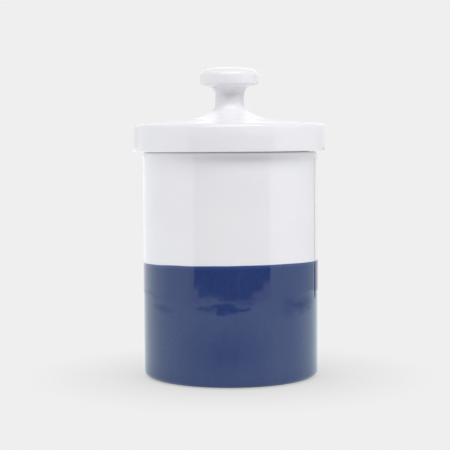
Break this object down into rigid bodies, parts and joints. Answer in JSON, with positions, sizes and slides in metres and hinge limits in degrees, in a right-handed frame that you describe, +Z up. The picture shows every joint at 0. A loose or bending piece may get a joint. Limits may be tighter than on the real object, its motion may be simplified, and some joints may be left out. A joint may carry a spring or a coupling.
{
  "type": "apothecary jar",
  "caption": "Straight-sided stoneware storage jar, white above and blue glaze below, with an overhanging disc lid, mushroom knob and seal ring; the lid lifts off and turns.",
  "frame": {"origin": "on the jar's axis, in the plane that its foot ring stands on", "axes": "+Z up along the axis towards the knob, -Y towards the front, +X to the right seen from the front"},
  "size_m": [0.1128, 0.1128, 0.1805],
  "materials": {
    "white_glaze": "glossy white glaze on stoneware, bare on the foot ring",
    "blue_glaze": "glossy cobalt blue dip glaze",
    "silicone": "satin translucent silicone"
  },
  "bodies": {
    "jar": {"jar_body": "white_glaze", "blue_dip_glaze": "blue_glaze"},
    "seal": {"seal_ring": "silicone"},
    "lid": {"lid_disc": "white_glaze", "lid_knob": "white_glaze"}
  },
  "joints": [
    {"name": "lid_lift", "type": "slide", "parent": "jar", "child": "seal", "axis": [0, 0, 1], "range_m": [0, 0.07]},
    {"name": "lid_turn", "type": "hinge", "parent": "seal", "child": "lid", "pos_m": [0, 0, 0.1317], "axis": [0, 0, 1], "continuous": true}
  ]
}
